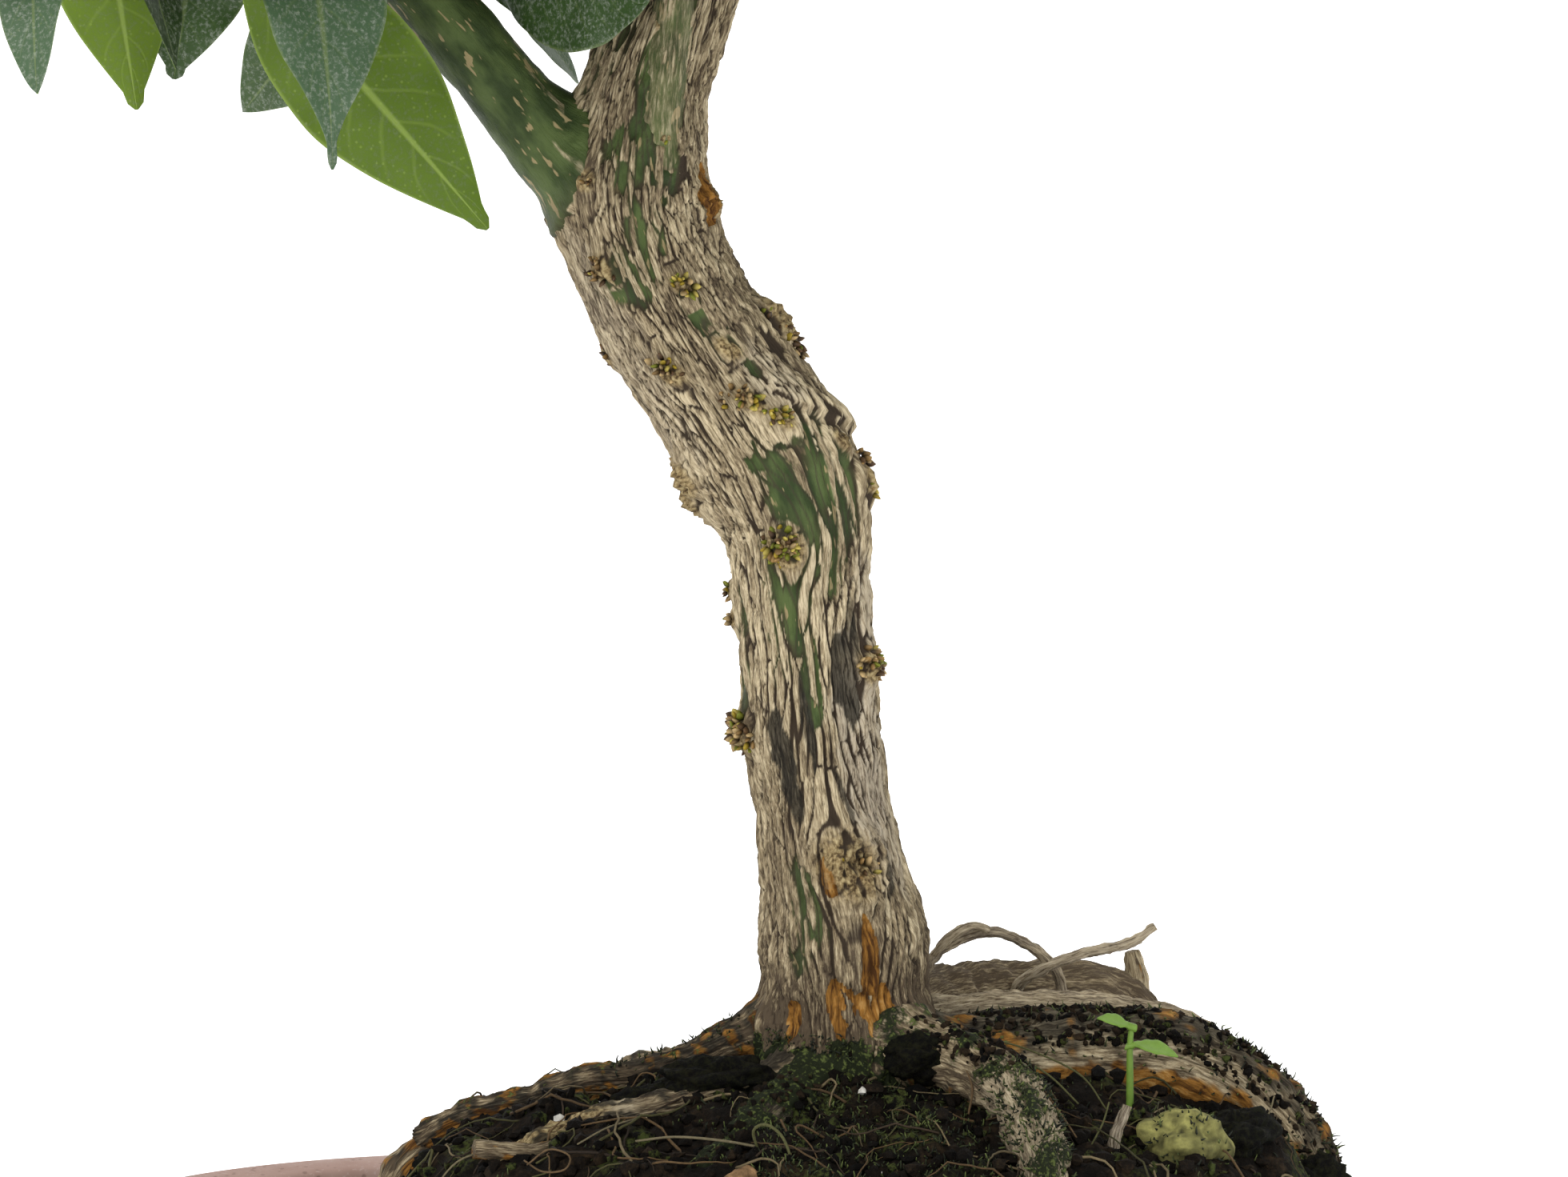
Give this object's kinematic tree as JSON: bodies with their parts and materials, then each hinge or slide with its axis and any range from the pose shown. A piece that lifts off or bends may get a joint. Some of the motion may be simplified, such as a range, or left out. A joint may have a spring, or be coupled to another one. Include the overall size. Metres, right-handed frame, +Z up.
{
  "type": "bonsai tree",
  "caption": "Chinotto orange bonsai in an unglazed oval pot, with a bent trunk, a rounded crown of pointed leaves and roots that spread over a raised soil mound.",
  "frame": {"origin": "on the surface that the pot's feet stand on, under the middle of the pot", "axes": "+X along the pot's long side to the viewer's right, -Y towards the front of the tree, +Z up"},
  "size_m": [0.222, 0.168, 0.347],
  "materials": {
    "terracotta": "matte",
    "screen": "matte",
    "peat": "matte",
    "bark": "matte",
    "leaf": "satin",
    "stone": "matte",
    "sprout": "satin"
  },
  "bodies": {
    "root": {"pot": "terracotta", "drainage_screen_left": "screen", "drainage_screen_right": "screen", "soil": "peat", "tree_wood": "bark", "leafy_shoot_01": "leaf", "leafy_shoot_02": "leaf", "leafy_shoot_03": "leaf", "leafy_shoot_04": "leaf", "leafy_shoot_05": "leaf", "leafy_shoot_06": "leaf", "leafy_shoot_07": "leaf", "leafy_shoot_08": "leaf", "leafy_shoot_09": "leaf", "leafy_shoot_10": "leaf", "leafy_shoot_11": "leaf", "leafy_shoot_12": "leaf", "leafy_shoot_13": "leaf", "leafy_shoot_14": "leaf", "leafy_shoot_15": "leaf", "leafy_shoot_16": "leaf", "leafy_shoot_17": "leaf", "leafy_shoot_18": "leaf", "leafy_shoot_19": "leaf", "leafy_shoot_20": "leaf", "leafy_shoot_21": "leaf", "leafy_shoot_22": "leaf", "leafy_shoot_23": "leaf", "leafy_shoot_24": "leaf", "leafy_shoot_25": "leaf", "leafy_shoot_26": "leaf", "leafy_shoot_27": "leaf", "leafy_shoot_28": "leaf", "leafy_shoot_29": "leaf", "leafy_shoot_30": "leaf", "leafy_shoot_31": "leaf", "leafy_shoot_32": "leaf", "leafy_shoot_33": "leaf", "leafy_shoot_34": "leaf", "leafy_shoot_35": "leaf", "leafy_shoot_36": "leaf", "leafy_shoot_37": "leaf", "leafy_shoot_38": "leaf", "leafy_shoot_39": "leaf", "leafy_shoot_40": "leaf", "leafy_shoot_41": "leaf", "leafy_shoot_42": "leaf", "mossy_stone": "stone", "brown_stone": "stone", "dry_stick": "bark", "seedling": "sprout"}
  },
  "joints": []
}
